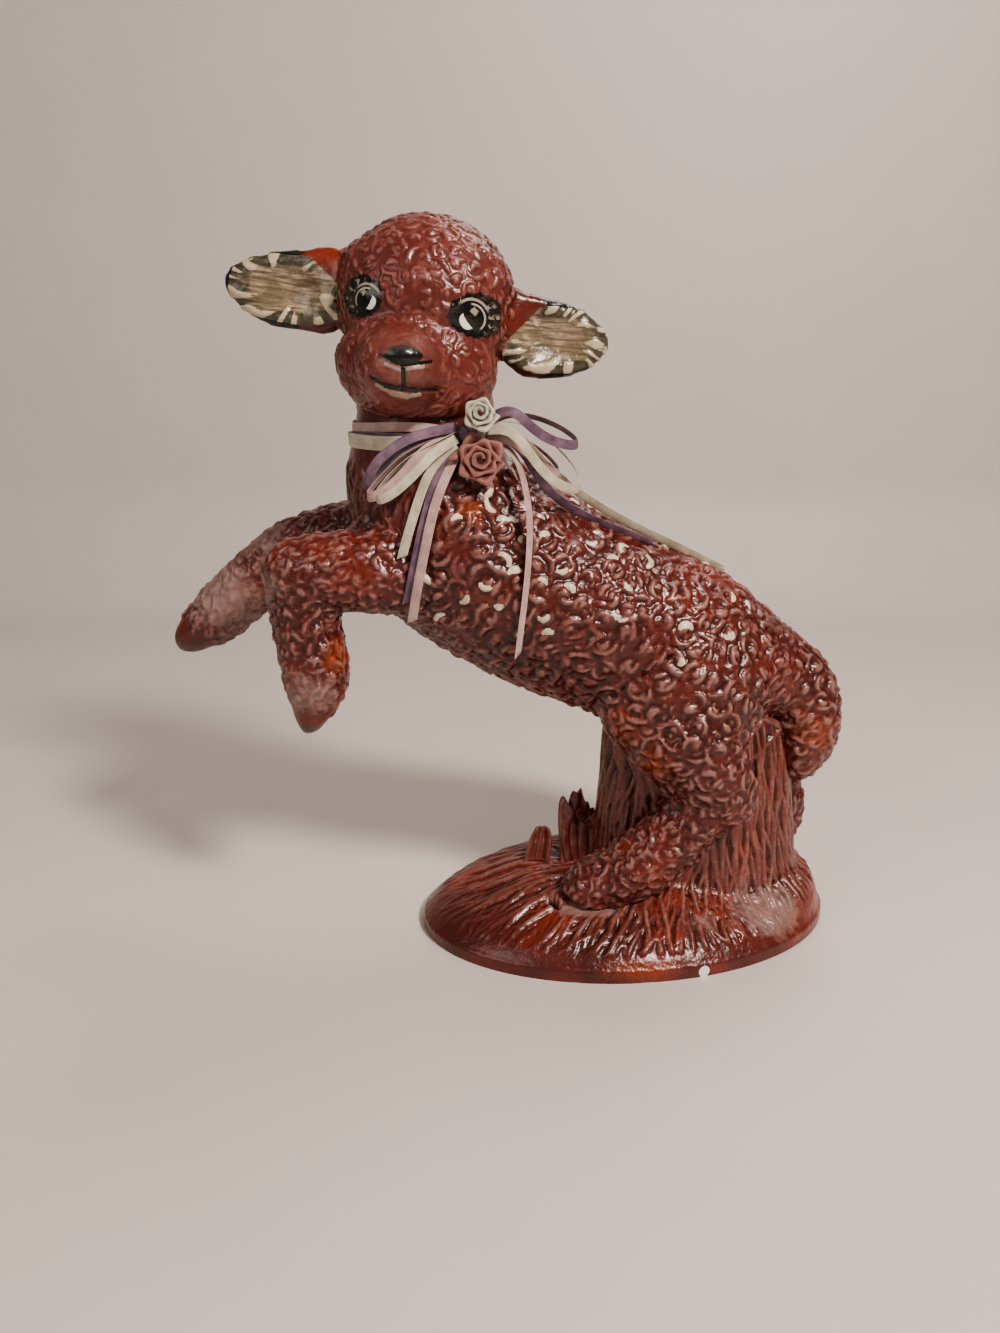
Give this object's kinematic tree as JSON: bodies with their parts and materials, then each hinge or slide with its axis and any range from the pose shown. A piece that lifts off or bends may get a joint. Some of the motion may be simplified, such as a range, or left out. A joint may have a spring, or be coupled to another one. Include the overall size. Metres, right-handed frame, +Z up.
{
  "type": "rearing lamb figurine",
  "caption": "Free-standing glazed ceramic figurine of a rearing lamb on an oval grass base, with a narrow ribbon bow and ribbon roses at its neck.",
  "frame": {"origin": "middle of the base's flat underside", "axes": "+Z up, the lamb rears towards -X and turns its face to -Y"},
  "size_m": [0.2522, 0.1066, 0.2539],
  "materials": {
    "wool_glaze": "hand-brushed red-brown glaze with dusty pink crests, glossy on the chest and back",
    "base_glaze": "red-brown glaze rubbed dusty pink on the grass, plain red-orange rim",
    "grass_glaze": "red-brown glaze rubbed dusty pink on the blades",
    "ear_glaze": "cream glaze inside, red-brown behind, black edge",
    "cream_satin": "satin ribbon",
    "lilac_satin": "satin ribbon",
    "pink_satin": "satin ribbon",
    "rose_satin": "folded satin ribbon",
    "white_satin": "folded satin ribbon"
  },
  "bodies": {
    "root": {"base_casting": "base_glaze", "body_casting": "wool_glaze", "bow_knot": "lilac_satin", "collar_cream": "cream_satin", "collar_lilac": "lilac_satin", "collar_pink": "pink_satin", "grass_column": "grass_glaze", "head_casting": "wool_glaze", "leaf_tuft": "grass_glaze", "left_ear": "ear_glaze", "left_foreleg": "wool_glaze", "left_hind_leg": "wool_glaze", "loop_left_cream": "cream_satin", "loop_left_lilac": "lilac_satin", "loop_left_pink": "pink_satin", "loop_right_cream": "cream_satin", "loop_right_lilac": "lilac_satin", "loop_right_pink": "pink_satin", "pink_rose": "rose_satin", "right_ear": "ear_glaze", "right_foreleg": "wool_glaze", "right_hind_leg": "wool_glaze", "rolled_leaf": "grass_glaze", "tail": "wool_glaze", "tail_back_cream": "cream_satin", "tail_back_lilac": "lilac_satin", "tail_left_cream": "cream_satin", "tail_left_lilac": "lilac_satin", "tail_left_pink": "pink_satin", "tail_right_pink": "pink_satin", "white_rose": "white_satin"}
  },
  "joints": []
}
